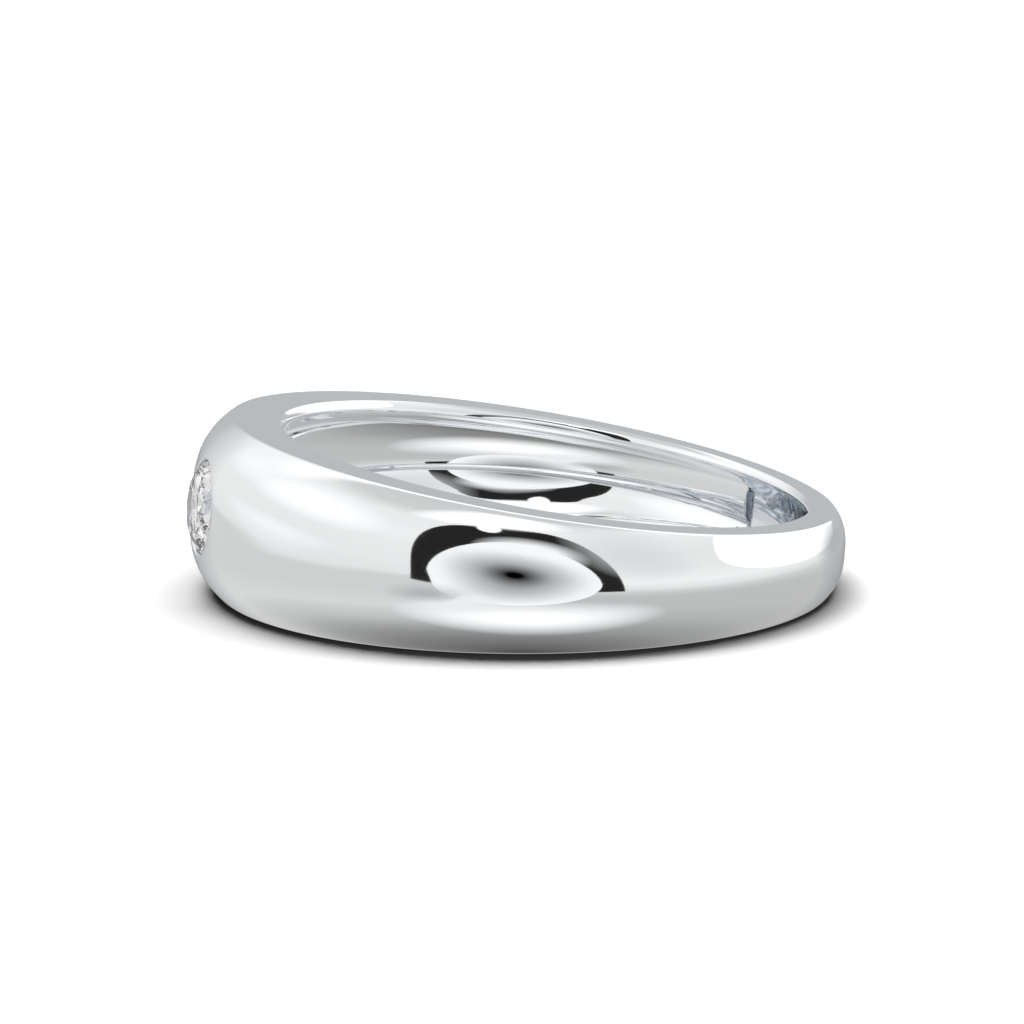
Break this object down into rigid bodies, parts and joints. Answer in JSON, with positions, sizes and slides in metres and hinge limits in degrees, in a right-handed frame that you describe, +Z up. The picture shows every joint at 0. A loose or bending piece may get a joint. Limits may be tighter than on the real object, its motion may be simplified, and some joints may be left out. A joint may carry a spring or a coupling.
{
  "type": "flush set gypsy ring",
  "caption": "Domed finger ring that tapers from its head to its back, hollow behind the head, with a round brilliant sunk flush in the metal.",
  "frame": {"origin": "the point where the axis of the finger hole meets the plane that the ring rests on", "axes": "+Z up from the lower side face that the ring rests on, -Y towards the head with the stone, +X to the right of someone who looks at the stone from the front"},
  "size_m": [0.0206, 0.0208, 0.0056],
  "materials": {
    "band": "mirror polished white gold, rhodium plated",
    "stone": "clear colourless round brilliant cut"
  },
  "bodies": {
    "root": {"band": "band", "stone": "stone"}
  },
  "joints": []
}
